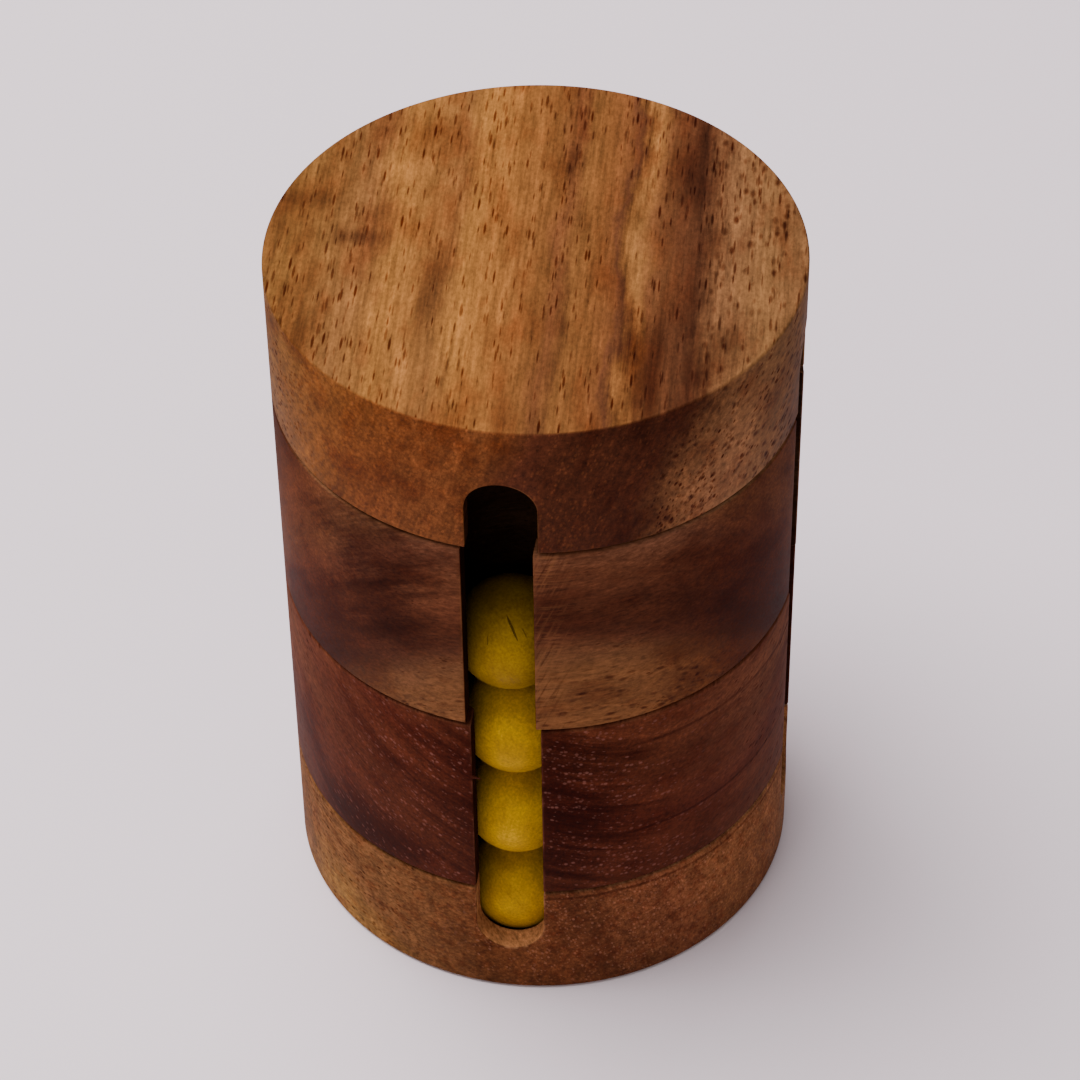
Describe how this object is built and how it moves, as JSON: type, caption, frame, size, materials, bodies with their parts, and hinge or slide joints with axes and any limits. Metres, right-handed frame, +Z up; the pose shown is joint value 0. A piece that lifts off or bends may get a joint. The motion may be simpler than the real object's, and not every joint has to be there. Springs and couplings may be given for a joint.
{
  "type": "barrel ball puzzle",
  "caption": "Wooden barrel puzzle with rings that turn between a fixed base and cap, and coloured balls that slide in slotted channels bored down through the layers.",
  "frame": {"origin": "centre of the base's underside, on the barrel's axis", "axes": "+Z up the barrel's axis from base to cap, and -Y out through the front slot, where the yellow balls show"},
  "size_m": [0.065, 0.065, 0.0967],
  "materials": {
    "base_wood": "oiled dark hardwood, satin",
    "lower_ring_wood": "oiled dark hardwood, satin",
    "upper_ring_wood": "oiled dark hardwood, satin",
    "cap_wood": "oiled dark hardwood, satin",
    "dowel_wood": "bare turned dowel",
    "yellow_ball": "dyed wood, satin",
    "red_ball": "dyed wood, satin",
    "green_ball": "dyed wood, satin",
    "blue_ball": "dyed wood, satin"
  },
  "bodies": {
    "barrel_core": {"base": "base_wood", "spindle": "dowel_wood", "cap": "cap_wood"},
    "lower_ring": {"lower_ring": "lower_ring_wood"},
    "upper_ring": {"upper_ring": "upper_ring_wood"},
    "yellow_ball_1": {"yellow_ball_1": "yellow_ball"},
    "yellow_ball_2": {"yellow_ball_2": "yellow_ball"},
    "yellow_ball_3": {"yellow_ball_3": "yellow_ball"},
    "yellow_ball_4": {"yellow_ball_4": "yellow_ball"},
    "red_ball_1": {"red_ball_1": "red_ball"},
    "red_ball_2": {"red_ball_2": "red_ball"},
    "red_ball_3": {"red_ball_3": "red_ball"},
    "red_ball_4": {"red_ball_4": "red_ball"},
    "green_ball_1": {"green_ball_1": "green_ball"},
    "green_ball_2": {"green_ball_2": "green_ball"},
    "green_ball_3": {"green_ball_3": "green_ball"},
    "green_ball_4": {"green_ball_4": "green_ball"},
    "blue_ball_1": {"blue_ball_1": "blue_ball"},
    "blue_ball_2": {"blue_ball_2": "blue_ball"},
    "blue_ball_3": {"blue_ball_3": "blue_ball"},
    "blue_ball_4": {"blue_ball_4": "blue_ball"}
  },
  "joints": [
    {"name": "upper_ring_turn", "type": "hinge", "parent": "barrel_core", "child": "upper_ring", "pos_m": [0, 0, 0.06292], "axis": [0, 0, 1], "continuous": true},
    {"name": "lower_ring_turn", "type": "hinge", "parent": "barrel_core", "child": "lower_ring", "pos_m": [0, 0, 0.03318], "axis": [0, 0, 1], "continuous": true},
    {"name": "yellow_slide_1", "type": "slide", "parent": "upper_ring", "child": "yellow_ball_1", "axis": [0, 0, 1], "range_m": [0, 0.0297]},
    {"name": "yellow_slide_2", "type": "slide", "parent": "lower_ring", "child": "yellow_ball_2", "axis": [0, 0, 1], "range_m": [0, 0.0297]},
    {"name": "yellow_slide_3", "type": "slide", "parent": "lower_ring", "child": "yellow_ball_3", "axis": [0, 0, 1], "range_m": [0, 0.0297]},
    {"name": "yellow_slide_4", "type": "slide", "parent": "barrel_core", "child": "yellow_ball_4", "axis": [0, 0, 1], "range_m": [0, 0.0297]},
    {"name": "red_slide_1", "type": "slide", "parent": "upper_ring", "child": "red_ball_1", "axis": [0, 0, 1], "range_m": [0, 0.0297]},
    {"name": "red_slide_2", "type": "slide", "parent": "lower_ring", "child": "red_ball_2", "axis": [0, 0, 1], "range_m": [0, 0.0297]},
    {"name": "red_slide_3", "type": "slide", "parent": "lower_ring", "child": "red_ball_3", "axis": [0, 0, 1], "range_m": [0, 0.0297]},
    {"name": "red_slide_4", "type": "slide", "parent": "barrel_core", "child": "red_ball_4", "axis": [0, 0, 1], "range_m": [0, 0.0297]},
    {"name": "green_slide_1", "type": "slide", "parent": "upper_ring", "child": "green_ball_1", "axis": [0, 0, 1], "range_m": [0, 0.0297]},
    {"name": "green_slide_2", "type": "slide", "parent": "lower_ring", "child": "green_ball_2", "axis": [0, 0, 1], "range_m": [0, 0.0297]},
    {"name": "green_slide_3", "type": "slide", "parent": "lower_ring", "child": "green_ball_3", "axis": [0, 0, 1], "range_m": [0, 0.0297]},
    {"name": "green_slide_4", "type": "slide", "parent": "barrel_core", "child": "green_ball_4", "axis": [0, 0, 1], "range_m": [0, 0.0297]},
    {"name": "blue_slide_1", "type": "slide", "parent": "upper_ring", "child": "blue_ball_1", "axis": [0, 0, 1], "range_m": [0, 0.0297]},
    {"name": "blue_slide_2", "type": "slide", "parent": "lower_ring", "child": "blue_ball_2", "axis": [0, 0, 1], "range_m": [0, 0.0297]},
    {"name": "blue_slide_3", "type": "slide", "parent": "lower_ring", "child": "blue_ball_3", "axis": [0, 0, 1], "range_m": [0, 0.0297]},
    {"name": "blue_slide_4", "type": "slide", "parent": "barrel_core", "child": "blue_ball_4", "axis": [0, 0, 1], "range_m": [0, 0.0297]}
  ],
  "couplings": [
    {"joint": "yellow_slide_2", "follows": "yellow_slide_1", "ratio": 1},
    {"joint": "yellow_slide_3", "follows": "yellow_slide_1", "ratio": 1},
    {"joint": "yellow_slide_4", "follows": "yellow_slide_1", "ratio": 1},
    {"joint": "red_slide_2", "follows": "red_slide_1", "ratio": 1},
    {"joint": "red_slide_3", "follows": "red_slide_1", "ratio": 1},
    {"joint": "red_slide_4", "follows": "red_slide_1", "ratio": 1},
    {"joint": "green_slide_2", "follows": "green_slide_1", "ratio": 1},
    {"joint": "green_slide_3", "follows": "green_slide_1", "ratio": 1},
    {"joint": "green_slide_4", "follows": "green_slide_1", "ratio": 1},
    {"joint": "blue_slide_2", "follows": "blue_slide_1", "ratio": 1},
    {"joint": "blue_slide_3", "follows": "blue_slide_1", "ratio": 1},
    {"joint": "blue_slide_4", "follows": "blue_slide_1", "ratio": 1}
  ]
}
